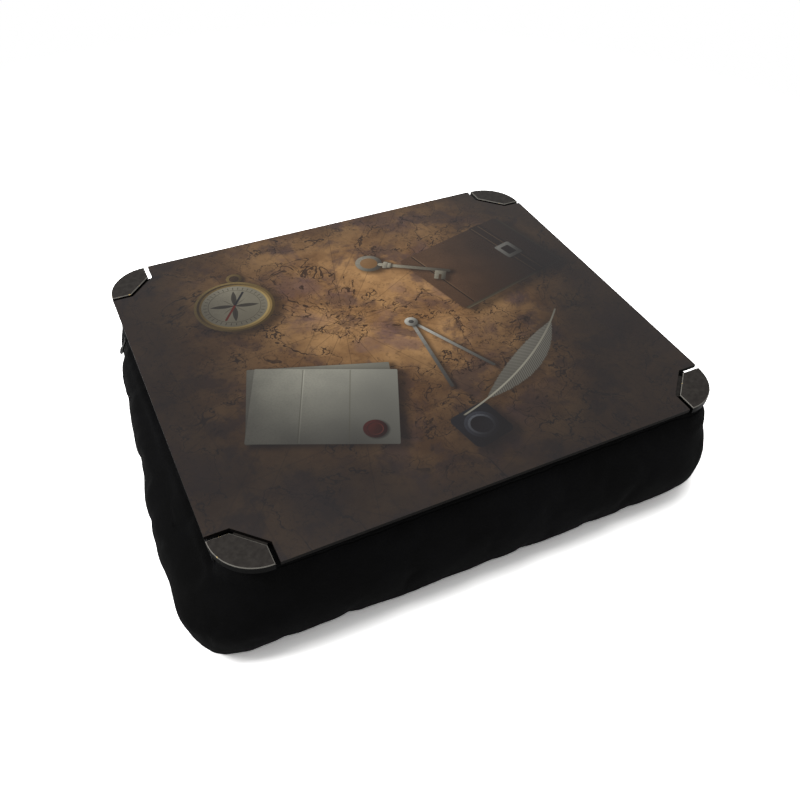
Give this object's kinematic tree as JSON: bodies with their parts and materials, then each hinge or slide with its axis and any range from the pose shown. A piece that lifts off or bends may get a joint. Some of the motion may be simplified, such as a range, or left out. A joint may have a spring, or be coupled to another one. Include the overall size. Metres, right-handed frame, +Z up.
{
  "type": "lap tray with cushion",
  "caption": "Flat lap tray with rounded corner pieces on a soft bead-filled cushion that lifts off, with a side zip in its cloth cover.",
  "frame": {"origin": "on the floor under the middle of the bounding box of the whole object", "axes": "+X along the tray's long side to the user's right, +Y away from the user, +Z up"},
  "size_m": [0.4639, 0.3915, 0.095],
  "materials": {
    "hardboard": "matte",
    "printed_film": "satin",
    "screw_steel": "satin",
    "corner_plastic": "gloss",
    "hook_pile": "matte",
    "loop_pile": "matte",
    "cover_cloth": "matte",
    "inner_bag": "matte",
    "bead_filling": "matte",
    "zip_tape": "matte",
    "zip_chain": "satin",
    "zip_metal": "satin"
  },
  "bodies": {
    "cushion": {"cover_top": "cover_cloth", "cover_band": "cover_cloth", "cover_base": "cover_cloth", "inner_bag": "inner_bag", "bead_filling": "bead_filling", "zip_stops": "zip_metal", "loop_pad_front_left": "loop_pile", "loop_pad_front_right": "loop_pile", "loop_pad_back_left": "loop_pile", "loop_pad_back_right": "loop_pile", "zip_tape_upper": "zip_tape", "zip_tape_lower": "zip_tape", "zip_chain_upper": "zip_chain", "zip_chain_lower": "zip_chain"},
    "tray": {"tray_board": "hardboard", "printed_film": "printed_film", "corner_screws": "screw_steel", "corner_piece_front_left": "corner_plastic", "corner_piece_front_right": "corner_plastic", "corner_piece_back_left": "corner_plastic", "corner_piece_back_right": "corner_plastic", "hook_pad_front_left": "hook_pile", "hook_pad_front_right": "hook_pile", "hook_pad_back_left": "hook_pile", "hook_pad_back_right": "hook_pile"},
    "zip_slider": {"zip_slider": "zip_metal"},
    "zip_pull": {"zip_pull": "zip_metal"}
  },
  "joints": [
    {"name": "tray_lift", "type": "slide", "parent": "cushion", "child": "tray", "axis": [0, 0, 1], "range_m": [0, 0.12]},
    {"name": "zip_slide", "type": "slide", "parent": "cushion", "child": "zip_slider", "axis": [0, -1, 0], "range_m": [0, 0.2475]},
    {"name": "zip_pull_swing", "type": "hinge", "parent": "zip_slider", "child": "zip_pull", "pos_m": [-0.20104, 0.12258, 0.0725], "axis": [0, 1, 0], "range_deg": [0, 145]}
  ]
}
